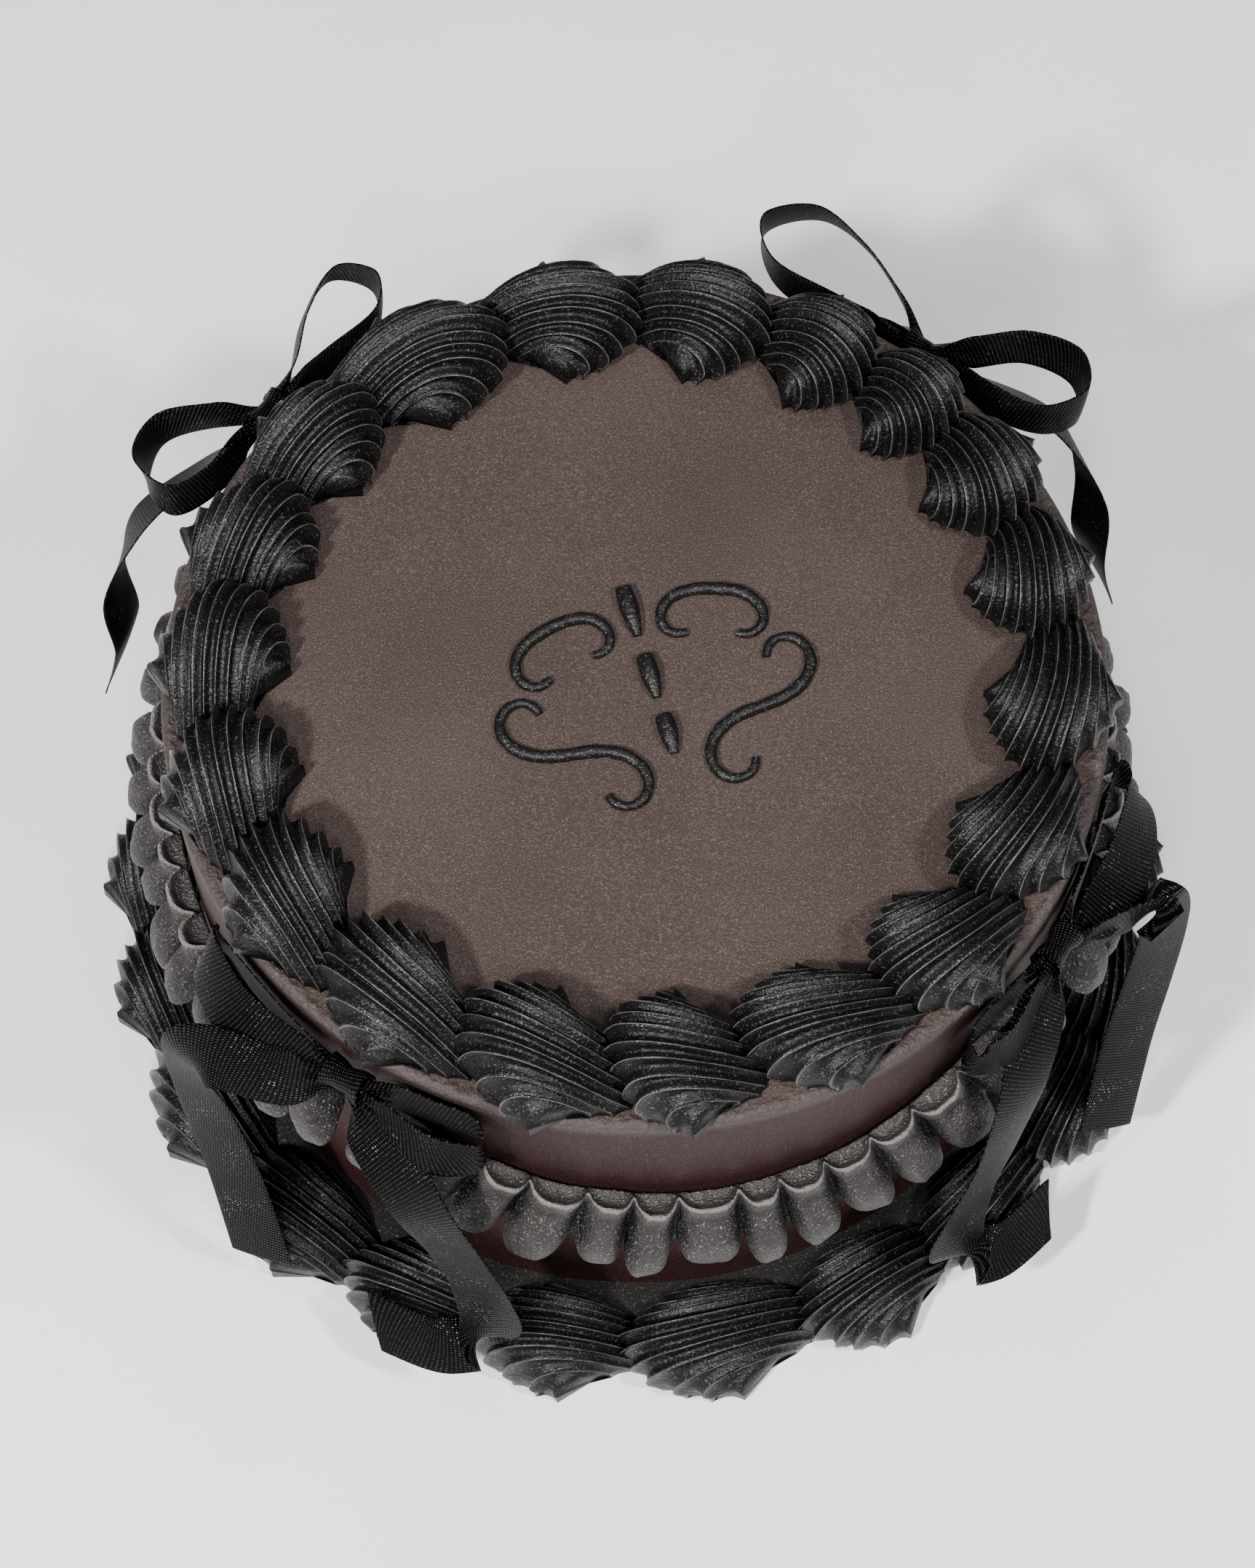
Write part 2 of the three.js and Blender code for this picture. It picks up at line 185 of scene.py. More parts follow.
def relief(here, shader, height, depth):
    """Bends the light on a surface as if it were height times depth metres deep"""
    bump = here.node("ShaderNodeBump", {}, {"Strength": 1.0, "Distance": depth, "Height": height})
    here.tree.links.new(bump.socket, shader.inputs["Normal"])


print("shader helper is ready")

# %% [markdown]
# ## Buttercream
# Black buttercream isn't quite black. Spread flat it dries to a brown grey with a fine, sugary grain. The
# side, which is out of the light, is painted a darker, redder tone as painted shade, and a crumbly rim runs
# where top and side meet. One material holds all three, because they are one coat of icing: height and
# distance from the middle say which tone shows.

# %% Smooth buttercream
# Noise scales, in waves to the metre
fine_grain, sugar_grain, patch_scale, ragged_edge, soft_cloud = 2600, 1700, 300, 420, 26


def smooth_buttercream(name, rim_from, rim_height, top, side, rim_tone, sugar_tone):
    material, tree, shader = start_material(name)
    here = Wire(tree, tree.nodes.new("ShaderNodeTexCoord").outputs["Object"])
    split = here.node("ShaderNodeSeparateXYZ", {}, {0: here})
    x, y, z = (Wire(tree, split.socket.node.outputs[axis]) for axis in range(3))
    grain = noise_at(here, here, fine_grain, 1.0, 0.7)
    cloud = noise_at(here, here, soft_cloud, 2.0)
    ragged = noise_at(here, here, ragged_edge, 2.0)
    out = (x * x + y * y) ** 0.5 + (ragged - 0.5) * 0.004
    at_edge = z.between(rim_height - 0.004, rim_height - 0.0008)
    rim = out.between(rim_from, rim_from + 0.0022) * at_edge
    mottle = (cloud * 0.35 + grain * 0.9).between(0.4, 0.85)
    on_top = z.between(rim_height - 0.005, rim_height - 0.001)
    # The side is painted darker and redder than the top, as painted shade
    colour = on_top.blend(mottle.blend(*side), mottle.blend(*top))
    colour = (rim * 0.45).blend(colour, rim_tone)
    colour = (grain.between(0.60, 0.74) * 0.35).blend(colour, sugar_tone)
    tree.links.new(colour.socket, shader.inputs["Base Color"])
    rough = 0.58 - grain.between(0.55, 0.7) * 0.14
    tree.links.new(rough.socket, shader.inputs["Roughness"])
    shader.inputs["IOR"].default_value = 1.22
    relief(here, shader, grain * 0.6 + ragged * 0.3 + rim * ragged * 3.0, 0.0003)
    return material


# side is the painted shade of the same icing as top, darker and redder
icing = smooth_buttercream("smooth_buttercream", rim_from=0.0900, rim_height=0.1072,
                           top=((0.0285, 0.0195, 0.0175, 1), (0.053, 0.0385, 0.0350, 1)),
                           side=((0.014, 0.0042, 0.0044, 1), (0.027, 0.0100, 0.0104, 1)),
                           rim_tone=(0.055, 0.050, 0.052, 1), sugar_tone=(0.13, 0.115, 0.105, 1))
print("spread buttercream is mixed")

# %% [markdown]
# Piped through a star nozzle the same icing keeps a fresher sheen. Its colour carries painted light: the sharp
# ridges get a thin cool painted highlight, and the channels between them are painted nearly black as painted
# shade. There are three mixes, one for the shells, a paler and more sugary one for the ruffles, and one for the
# bank at the foot, which is painted shade throughout. The painted highlight and shade follow a number that
# the mesh carries at every point, 1 on a ridge and 0 in a channel, because they have to keep to the piping and
# not to the space around it.

# %% Piped buttercream
def piped_buttercream(name, channel, flank, ridge, rough, sugar, depth):
    material, tree, shader = start_material(name)
    here = Wire(tree, tree.nodes.new("ShaderNodeTexCoord").outputs["Object"])
    crest = here.node("ShaderNodeAttribute", {"attribute_name": "ridge"}, output=2)
    grain = noise_at(here, here, sugar_grain, 1.0, 0.7)
    patchiness = noise_at(here, here, patch_scale, 2.0)
    # Channels are painted nearly black as painted shade and crests get a thin cool painted highlight; random
    # patches shift where each shows
    colour = (crest + (patchiness - 0.5) * 0.35).between(0.05, 0.75).blend(channel, flank)
    colour = ((crest + (patchiness - 0.5) * 0.25).between(0.84, 1.0) * 0.75).blend(colour, ridge)
    colour = (grain.between(0.60, 0.74) * sugar).blend(colour, (0.16, 0.16, 0.165, 1))
    tree.links.new(colour.socket, shader.inputs["Base Color"])
    roughness = rough + 0.20 - crest.between(0.3, 1.0) * 0.20 - grain.between(0.55, 0.7) * 0.12
    tree.links.new(roughness.socket, shader.inputs["Roughness"])
    shader.inputs["IOR"].default_value = 1.32
    relief(here, shader, grain * 0.8 + patchiness * 0.6, depth)
    return material


# In each mix the channel colour is painted shade and the ridge colour a painted highlight
piping = piped_buttercream("piped_buttercream", channel=(0.0008, 0.0007, 0.0008, 1),
                           flank=(0.0058, 0.0048, 0.0052, 1), ridge=(0.110, 0.108, 0.114, 1),
                           rough=0.29, sugar=0.28, depth=0.0003)
ruffling = piped_buttercream("ruffled_buttercream", channel=(0.0030, 0.0026, 0.0027, 1),
                             flank=(0.034, 0.0305, 0.0305, 1), ridge=(0.160, 0.155, 0.152, 1),
                             rough=0.30, sugar=0.7, depth=0.0008)
# The bank's colours are all painted shade
painted_shade_icing = piped_buttercream("painted_shade_buttercream", channel=(0.0016, 0.0014, 0.0014, 1),
                           flank=(0.0050, 0.0040, 0.0040, 1), ridge=(0.010, 0.009, 0.009, 1),
                           rough=0.60, sugar=0.2, depth=0.0004)
print("piped buttercream is mixed")

# %% [markdown]
# ## Satin ribbon
# Half-inch satin ribbon is a close twill: slanting rows of tiny floats that flash one by one when they face a
# light, a whole patch of them at a time. Here the floats are painted lighter than the ground as painted
# glints, and sparse patches of brighter painted glints are laid over them wherever they lie. A printed-on
# pattern would slide over the folds, so the weave is worked out from the ribbon's own UV map, which is laid
# out in metres along and across the cloth.

# %% Satin
def satin_weave(name, ground, float_glint_tone, brown_cast, flash_tone):
    material, tree, shader = start_material(name)
    here = Wire(tree, tree.nodes.new("ShaderNodeTexCoord").outputs["UV"])
    split = here.node("ShaderNodeSeparateXYZ", {}, {0: here})
    along, across = (Wire(tree, split.socket.node.outputs[axis]) for axis in range(2))
    float_length, float_gap = 0.0013, 0.0010
    rows = ((along + across * 0.9) * (2 * pi / float_length)).sine()
    floats = ((along * 0.35 - across) * (2 * pi / float_gap)).sine()
    weave = rows * floats
    fibre = noise_at(here, here, 1500, 1.0)
    cloud = noise_at(here, here, 90, 1.0)
    # The floats are painted lighter than the ground: painted glints
    glint = (weave + (fibre - 0.5) * 1.2).between(0.45, 0.95)
    colour = glint.blend(ground, float_glint_tone)
    colour = (cloud.between(0.45, 0.8) * 0.3).blend(colour, brown_cast)
    # Sparse patches of bright painted glints
    flash = cloud.between(0.46, 0.75) * fibre.between(0.54, 0.70) * weave.between(0.1, 0.7)
    colour = flash.blend(colour, flash_tone)
    tree.links.new(colour.socket, shader.inputs["Base Color"])
    rough = 0.36 - glint * 0.18 + fibre * 0.06
    tree.links.new(rough.socket, shader.inputs["Roughness"])
    shader.inputs["IOR"].default_value = 1.12
    relief(here, shader, weave * 0.8 + fibre * 0.4, 0.00025)
    return material


satin = satin_weave("black_satin", ground=(0.0005, 0.0004, 0.0004, 1), float_glint_tone=(0.036, 0.035, 0.036, 1),
                    brown_cast=(0.0035, 0.0018, 0.0014, 1), flash_tone=(0.36, 0.36, 0.38, 1))
print("satin is woven")

# %% [markdown]
# The floor's pale paint has a faint mottle, so that it doesn't look like an empty page.

# %% Floor paint
floor_paint, floor_tree, floor_shader = start_material("pale_floor")
floor_here = Wire(floor_tree, floor_tree.nodes.new("ShaderNodeTexCoord").outputs["Object"])
floor_dark, floor_light = (0.76, 0.77, 0.78, 1), (0.80, 0.805, 0.81, 1)
mottle = noise_at(floor_here, floor_here, 9, 4.0).between(0.3, 0.7)
floor_tree.links.new(mottle.blend(floor_dark, floor_light).socket, floor_shader.inputs["Base Color"])
floor_shader.inputs["Roughness"].default_value = 0.6
floor.data.materials.append(floor_paint)
print("floor is painted")

# %% [markdown]
# ## Sizes
# These are the named sizes of the solids, in millimetres, with angles in degrees counterclockwise seen from
# above and the front of the cake at 270. The ridges of the foot shells stick out further than the solids' few
# flat ones would, so that ring is a millimetre narrower here. A seeded row of draws makes every shell a
# little different, and the same on every run.

# %% Sizes of the cake
cake_radius, cake_height, gap = 93.4, 107.2, 0.35
top_spans = [16.1, 19.1, 20.6, 22.6, 18.3, 17.1, 19.2, 18.2, 19.6, 21.1, 20.0, 17.6, 21.1, 18.9, 19.9, 21.5,
             17.9, 16.9, 14.3]
foot_spans = [14.8, 15.1, 17.1, 17.3, 15.8, 16.7, 20.2, 17.2, 16.4, 15.9, 15.5, 17.0, 16.5, 15.6, 16.8, 15.8,
              16.5, 15.2, 16.8, 16.0, 15.6, 16.2]
top_ring = dict(radius=82.2, half_width=14.4, height=16.5, base=cake_height + gap, wall=0, skew=0.15,
                start=53.5)
foot_ring = dict(radius=105.2, half_width=13.2, height=21, base=0, wall=cake_radius + gap, skew=-0.08,
                 start=171.5)
bow_angles = [52, 140, 235.6, 328]
uneven = dict(height=0.06, half_width=0.04, radius=0.5, lobe=0.06)
# How far apart the lumps of work by hand are, and how deep
lumps_of = dict(spread=(38, 0.5), bank=(6, 1.2), bead=(1.6, 0.35), shell=(4.5, 0.4), ruffle=(2.4, 0.5))


def draws():
    seed = 20731
    while True:
        seed = (seed * 1664525 + 1013904223) % 4294967296
        yield 2 * seed / 4294967296 - 1


draw = draws()


def polar(angle, radius, height):
    """Points in metres from angles in degrees and millimetres"""
    turn = np.radians(angle)
    return np.stack([radius * np.cos(turn), radius * np.sin(turn), height + 0 * turn], -1) * MM


def mix(one, other, share):
    return one + (other - one) * share


print(len(top_spans), "top shells and", len(foot_spans), "foot shells")

# %% [markdown]
# ## From a flat grid to a form
# Shells, ruffles and ribbons are all sheets with a regular net: so many ridges across and so many steps
# along. Each starts as a primitive grid, and a rule says where every crossing of the net goes. Where the
# first and the last row meet, merging by distance makes a tube, and the two open ends are filled, so that
# every piece of icing is a closed body. Normals are made consistent after the merge, when the tool can see
# the whole surface.

# %% Grid helpers
def only(piece):
    bpy.ops.object.select_all(action="DESELECT")
    piece.select_set(True)
    bpy.context.view_layer.objects.active = piece


def laid_grid(name, columns, rows, place):
    """A grid of columns by rows crossings, each moved to place(share across, share along)"""
    bpy.ops.object.select_all(action="DESELECT")
    bpy.ops.mesh.primitive_grid_add(x_subdivisions=columns - 1, y_subdivisions=rows - 1, size=1)
    piece = bpy.context.object
    piece.name = piece.data.name = name
    flat = np.zeros(len(piece.data.vertices) * 3)
    piece.data.vertices.foreach_get("co", flat)
    flat = flat.reshape(-1, 3)
    column = np.rint((flat[:, 0] + 0.5) * (columns - 1)).astype(int)
    row = np.rint((flat[:, 1] + 0.5) * (rows - 1)).astype(int)
    points, marks = place(column, row)
    piece.data.vertices.foreach_set("co", points.ravel())
    if marks is not None:
        ridge = piece.data.attributes.new("ridge", "FLOAT", "POINT")
        ridge.data.foreach_set("value", np.ascontiguousarray(marks, dtype=np.float32))
    piece.data.update()
    return piece


def closed_up(piece):
    only(piece)
    bpy.ops.object.mode_set(mode="EDIT")
    bpy.ops.mesh.select_all(action="SELECT")
    bpy.ops.mesh.remove_doubles(threshold=0.02 * MM)
    bpy.ops.mesh.select_all(action="DESELECT")
    bpy.ops.mesh.select_mode(type="EDGE")
    bpy.ops.mesh.select_non_manifold(extend=False, use_wire=False, use_multi_face=False,
                                     use_non_contiguous=False, use_verts=False)
    bpy.ops.mesh.fill_holes(sides=0)
    bpy.ops.mesh.select_all(action="SELECT")
    bpy.ops.mesh.normals_make_consistent(inside=False)
    bpy.ops.object.mode_set(mode="OBJECT")


def add_and_apply(piece, kind, **settings):
    only(piece)
    modifier = piece.modifiers.new(kind.lower(), kind)
    for key, value in settings.items():
        setattr(modifier, key, value)
    bpy.ops.object.modifier_apply(modifier=modifier.name)


def handled(piece, size, depth):
    """The small unevenness of work done by hand"""
    lumps = bpy.data.textures.get(f"lumps_{size}") or bpy.data.textures.new(f"lumps_{size}", "CLOUDS")
    lumps.noise_scale = size * MM
    lumps.noise_depth = 2
    add_and_apply(piece, "DISPLACE", texture=lumps, texture_coords="LOCAL", strength=depth * MM,
                  mid_level=0.5)


def dressed(piece, material, slot, *replaced):
    piece.data.materials.clear()
    piece.data.materials.append(material)
    only(piece)
    bpy.ops.object.shade_smooth()
    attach(piece, "root")
    if replaced:
        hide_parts(*replaced)
    return piece


print("grid helpers are ready")

# %% [markdown]
# ## The iced cake
# The cake and the bank at its foot both start as cylinders that stand on the table. A primitive's middle lies
# at its location, so each is raised by half its height, and that place is then applied to its mesh. Edges and
# faces are picked in code, by where they lie.

# %% Cylinder tools
round_steps = 224


def standing_cylinder(name, radius, height):
    bpy.ops.object.select_all(action="DESELECT")
    bpy.ops.mesh.primitive_cylinder_add(vertices=round_steps, radius=radius * MM, depth=height * MM,
                                        location=(0, 0, height * MM / 2), end_fill_type="NGON")
    piece = bpy.context.object
    piece.name = name
    bpy.ops.object.transform_apply(location=True, rotation=False, scale=False)
    return piece


def set_down(piece):
    """Lifts what the lumps pushed under the surface that the cake stands on"""
    for vertex in piece.data.vertices:
        vertex.co.z = max(vertex.co.z, 0)


def pick(piece, kind, wanted):
    """Selects only the edges or faces of piece for which wanted says yes, and goes into edit mode"""
    only(piece)
    bpy.ops.object.mode_set(mode="EDIT")
    bpy.ops.mesh.select_mode(type=kind)
    bpy.ops.mesh.select_all(action="DESELECT")
    bpy.ops.object.mode_set(mode="OBJECT")
    corners = piece.data.vertices
    for item in (piece.data.edges if kind == "EDGE" else piece.data.polygons):
        item.select = wanted(item, [corners[v].co for v in item.vertices])
    bpy.ops.object.mode_set(mode="EDIT")


print("cylinders have", round_steps, "sides")

# %% [markdown]
# The body's top edge is rounded by the palette knife. Its side is cut into rings and its top is inset towards
# the middle, which gives enough faces for the faint waves that a knife leaves. They are a fraction of a
# millimetre deep and only show where light rakes over them.

# %% Iced body
side_cuts, top_insets, inset_step = 28, 17, 5
body = standing_cylinder("cake_icing", cake_radius, cake_height)
pick(body, "EDGE", lambda edge, ends: abs(ends[0].z - ends[1].z) > MM)
bpy.ops.mesh.subdivide(number_cuts=side_cuts)
bpy.ops.object.mode_set(mode="OBJECT")
for height, width, segments in ((cake_height * MM, 1.6 * MM, 4), (0.0, 0.6 * MM, 2)):
    pick(body, "EDGE", lambda edge, ends: all(abs(end.z - height) < 0.01 * MM for end in ends))
    bpy.ops.mesh.bevel(offset=width, segments=segments, affect="EDGES")
    bpy.ops.object.mode_set(mode="OBJECT")
pick(body, "FACE", lambda face, ends: face.normal.z > 0.99 and len(ends) > 100)
for _ in range(top_insets):
    bpy.ops.mesh.inset(thickness=inset_step * MM)
bpy.ops.mesh.poke()
bpy.ops.object.mode_set(mode="OBJECT")
handled(body, *lumps_of["spread"])
set_down(body)
dressed(body, icing, "smooth_icing", "cake_body")
print("iced body", len(body.data.polygons), "faces")

# %% [markdown]
# A low bank of icing runs round the foot, under the shells, so that no pale floor shows between them and the
# wall. It is painted as dark as they are, as painted shade for the shaded gap under them. It is another
# cylinder, a little wider than the cake, with its upper edge rounded off and lumpier than the spread side.

# %% Bank of icing at the foot
bank_out, bank_height, bank_rounding = 8, 7, 5
bank = standing_cylinder("foot_bank", cake_radius + bank_out, bank_height)
pick(bank, "EDGE", lambda edge, ends: all(end.z > (bank_height - 1) * MM for end in ends))
bpy.ops.mesh.bevel(offset=bank_rounding * MM, segments=5, affect="EDGES")
bpy.ops.object.mode_set(mode="OBJECT")
handled(bank, *lumps_of["bank"])
set_down(bank)
# The bank is coloured with painted shade
dressed(bank, painted_shade_icing, "piped_icing")
print("foot bank", len(bank.data.polygons), "faces")

# %% [markdown]
# ## The scroll on top
# The middle of the top has a small piped scroll: two S curves and two C curves in mirror image with a row of
# drops between them. Each line is a curve that turns ever more tightly towards its ends, drawn as a NURBS
# curve whose bevel is the round bead that a fine nozzle leaves, and converted to a mesh.

# %% Scroll strokes
def scroll_line(middle, heading, length, curl, opposite, steps):
    step = length / (2 * steps)
    halves = []
    for direction in (1, -1):
        path, angle = [Vector(middle)], radians(heading)
        for i in range(steps):
            turn = radians(curl * (i + 0.5) / steps * step)
            angle += turn if opposite else direction * turn
            path.append(path[-1] + Vector((cos(angle), sin(angle))) * direction * step)
        halves.append(path)
    return halves[1][:0:-1] + halves[0]


def bead_line(name, path, swell, width=2.6, lift=0.75):
    data = bpy.data.curves.new(name, "CURVE")
    data.dimensions = "3D"
    data.bevel_depth = width / 2 * MM
    data.bevel_resolution = 4
    data.use_fill_caps = True
    spline = data.splines.new("NURBS")
    spline.points.add(len(path) - 1)
    for i, point in enumerate(path):
        size = swell(i / (len(path) - 1))
        spline.points[i].co = (*(point * MM), (cake_height + lift * size) * MM, 1)
        spline.points[i].radius = size
    spline.use_endpoint_u = True
    spline.order_u = 4
    spline.resolution_u = 4
    line = bpy.data.objects.new(name, data)
    bpy.context.scene.collection.objects.link(line)
    only(line)
    bpy.ops.object.convert(target="MESH")
    return bpy.context.object


print("strokes can be drawn")

# %% [markdown]
# Each form is drawn once, on the right, and mirrored to the left. The whole ornament is turned a little
# against the camera, as something piped by hand is never quite square.

# %% Scroll in place
ornament_tilt, ornament_place = radians(16), Vector((3, 0))
turned = Matrix.Rotation(ornament_tilt, 2)
forms = [dict(middle=(19, -12), heading=5, length=60, curl=16.5, opposite=True, steps=18),
         dict(middle=(17, 15.5), heading=-16, length=42, curl=-19, opposite=False, steps=14)]
drops, drop_steps = ((-17, -9), (-4.5, 4.5), (9.5, 20)), 7


def stroke_swell(share):
    return mix(0.62, 1.0, sin(pi * share)) + 0.05 * sin(60 * share)


def drop_swell(share):
    return mix(0.45, 1.5, sin(pi * (0.06 + 0.66 * share)))


lines = []
for mirror in (1, -1):
    for form in forms:
        path = [turned @ Vector((mirror * p.x, p.y)) + ornament_place for p in scroll_line(**form)]
        lines.append(bead_line("scroll", path, stroke_swell))
for start, end in drops:
    path = [turned @ Vector((0, mix(start, end, i / drop_steps))) + ornament_place
            for i in range(drop_steps + 1)]
    lines.append(bead_line("drop", path, drop_swell))
for line in lines:
    line.select_set(True)
bpy.context.view_layer.objects.active = lines[0]
bpy.ops.object.join()
scroll = bpy.context.object
scroll.name = "top_scroll"
handled(scroll, *lumps_of["bead"])
bead_shine = scroll.data.attributes.new("ridge", "FLOAT", "POINT")
bead_shine.data.foreach_set("value", np.full(len(scroll.data.vertices), 0.6, np.float32))
dressed(scroll, piping, "piped_icing")
print("scroll of", len(lines), "strokes")

# %% [markdown]
# ## Piped shells
# A shell is one squeeze of an open star nozzle: it swells into a rounded head and is drawn away into a tail,
# which the next head covers. The nozzle's teeth leave ridges that run from the head's foot over its crown
# into the tail, and at the sides they curl round a small eye, one inside the next. So each ridge is a loop in
# side view that shrinks about the eye towards both sides, and between two ridges the same loop is drawn a
# little inwards. The loops are bent round the ring, fanned out wider at the head than at the tail.

# %% Side view of a shell
head_reach = 0.76
side_view = np.array([
    # along, up, spread, depth of the channels
    (0.64, 0.00, 1.00, 1.1),
    (head_reach, 0.32, 0.98, 1.8),
    (0.64, 0.80, 0.88, 2.2),
    (0.32, 1.00, 0.78, 2.2),
    (-0.10, 0.78, 0.69, 1.6),
    (-0.55, 0.00, 0.60, 0.5),
])
eye_height, last_ridge = 0.2, radians(80)
ridges, steps_per_ridge, steps_along = 11, 9, 48
crest_sharpness, end_shine = 0.72, 0.3
pulled_by, swayed_by, wander = (-0.05, 0.03), 0.13, 0.1


def through(points, count):
    """Places evenly spaced on a smooth centripetal curve through points, and how far along each one is"""
    points = np.asarray(points, float)
    padded = np.vstack([2 * points[0] - points[1], points, 2 * points[-1] - points[-2]])
    dense = []
    for i in range(len(points) - 1):
        a, b, c, d = padded[i:i + 4]
        ab, bc, cd = (max(np.linalg.norm(q[:3] - p[:3]) ** 0.5, 1e-4) for p, q in ((a, b), (b, c), (c, d)))
        leave = ((b - a) / ab - (c - a) / (ab + bc) + (c - b) / bc) * bc
        reach = ((c - b) / bc - (d - b) / (bc + cd) + (d - c) / cd) * bc
        for s in np.linspace(0, 1, 24, endpoint=i == len(points) - 2):
            dense.append((2 * b - 2 * c + leave + reach) * s ** 3
                         + (3 * c - 3 * b - 2 * leave - reach) * s ** 2 + leave * s + b)
    dense = np.array(dense)
    along = np.concatenate([[0], np.cumsum(np.linalg.norm(np.diff(dense[:, :3], axis=0), axis=1))])
    even = np.linspace(0, along[-1], count)
    return np.stack([np.interp(even, along, dense[:, k]) for k in range(dense.shape[1])], -1), even


# The curve is laid out on the real proportions of a shell, so that its steps are even on the icing
proportions = np.array([26, 18, 1, 1])
side_curve = through(side_view * proportions, steps_along)[0] / proportions
side_curve[[0, -1], 1] = 0
print("side view of", len(side_curve), "steps")

# %% [markdown]
# No hand holds a nozzle quite still, so each ridge is pulled out a little more or less than its neighbours
# and sways to one side. The amounts come from a seed of the shell's own place on the ring. Every point carries
# a mark that paints a highlight on the crests and shade in the channels. The outermost ridge on either side
# faces outwards as a flat end, so it is marked lower: it gets no painted highlight and partly the channels'
# painted shade.

# %% Rule for a shell
def shell_rule(shell):
    columns = ridges * steps_per_ridge + 1
    hand = np.random.default_rng(int(shell["twist"] * 10))
    pulled = 1 + hand.uniform(*pulled_by, ridges + 1)
    swayed = hand.uniform(-swayed_by, swayed_by, ridges + 1)

    def rule(column, row):
        around = np.minimum(row, steps_along) % steps_along
        along, up, spread, channel = side_curve[around].T
        share = column / (columns - 1) * 2 - 1
        phase = (column % steps_per_ridge) / steps_per_ridge
        crest = 1 - np.sin(pi * phase) ** crest_sharpness
        ridge_number = column / steps_per_ridge
        pull = np.interp(ridge_number, np.arange(ridges + 1), pulled)
        sway = np.interp(ridge_number, np.arange(ridges + 1), swayed)
        sway = sway + wander * np.sin(around * 0.2 + shell["twist"])
        angle = last_ridge * (share + 2 * sway / ridges * (1 - share * share))
        along = along * shell["span"] * pull
        up = (up - eye_height) * shell["height"] * pull
        inward = channel * (1 - crest)
        shrink = np.cos(angle) * (1 - inward / np.hypot(along, up))
        sideways = np.sin(angle) * (shell["half_width"] * spread - inward) - shell["skew"] * along * shrink
        height = np.where(side_curve[around][:, 1] <= 0, 0,
                          np.maximum(0, eye_height * shell["height"] + up * shrink))
        radius = np.maximum(shell["radius"] + sideways, shell["wall"])
        turn = shell["eye"] - np.degrees(along * shrink / shell["radius"])
        at_end = (column == 0) | (column == columns - 1)
        # The mark paints a highlight on each crest and shade in each channel
        return polar(turn, radius, shell["base"] + height), np.where(at_end, end_shine, crest)
    return columns, steps_along + 1, rule


def shell_row(ring, spans):
    front = ring["start"]
    for span in spans:
        yield dict(ring, eye=front + head_reach * span, span=radians(span) * ring["radius"],
                   height=ring["height"] * (1 + uneven["height"] * next(draw)),
                   half_width=ring["half_width"] * (1 + uneven["half_width"] * next(draw)),
                   radius=ring["radius"] + uneven["radius"] * next(draw), twist=front)
        front += span


print("a shell has", ridges * steps_per_ridge + 1, "by", steps_along, "points")

# %% [markdown]
# The shells are laid one after another round each ring, head over tail, with the spans of the real ones. Each
# is its own closed piece of icing.

# %% Shells in place
faces = 0
for kind, ring, spans in (("top", top_ring, top_spans), ("foot", foot_ring, foot_spans)):
    for i, shell in enumerate(shell_row(ring, spans), start=1):
        piece = laid_grid(f"{kind}_shell_piping_{i:02d}", *shell_rule(shell))
        closed_up(piece)
        handled(piece, *lumps_of["shell"])
        dressed(piece, piping, "piped_icing", f"{kind}_shell_{i:02d}")
        faces += len(piece.data.polygons)
print(len(top_spans) + len(foot_spans), "shells,", faces, "faces")

# %% [markdown]
# ## Ruffle swags
# The swags are piped with a petal nozzle that is moved in and out, so the strip of icing folds into a row of
# lobes. Seen from above each lobe starts as a small cup with a thin curled rim, and below it the strip bulges
# out into a tongue that is cut off square at its foot. Two outlines are enough, one in a fold between two
# lobes and one at the middle of a lobe: every station along the swag is a mix of the two.

# %% Outlines of a ruffle
strip_back, tongue_top = 0.55, 8
fold_outline = np.array([
    (strip_back, 3.2), (0.9, 3.0), (1.2, 2.4), (1.4, 1.8), (1.6, 1.6), (1.8, 2.4), (2.0, 4.0), (2.4, 6.2),
    (2.8, 8.4), (3.3, 10.4), (3.8, 12.4), (4.4, 14.2), (4.9, 15.4), (4.4, 15.8), (3.4, 15.0),
    (strip_back, 14.0)])
lobe_outline = np.array([
    (strip_back, 1.6), (1.3, 2.8), (3.0, 3.3), (4.7, 2.4), (5.7, 0.1), (6.3, 0.1), (6.7, 2.8), (6.3, 5.6),
    (6.8, 7.4), (8.8, 8.4), (10.8, 11.0), (11.9, 14.8), (12.1, 19.8), (11.3, 20.6), (9.2, 18.4),
    (strip_back, 15.0)])
ruffle = dict(rim_low=73.5, sag=22, lobe=5.8, end_gap=5.5)
steps_per_lobe = 14
cup_rows, tongue_rows = 8, 11
stretched_by, proud_by, raised_by = 0.13, (-0.12, 0.10), (-0.9, 0.7)
leans_from, leaning_by = 6, 0.09
print(len(fold_outline), "points in each outline")

# %% [markdown]
# A cup swells evenly from fold to fold, but a tongue rises steeply and stays wide, and its cut foot is nearly
# square, so the share of the lobe's outline grows faster from row to row. Every lobe leans, stands proud and
# is raised by its own small amount, and the swag itself hangs in an arc between two bows.

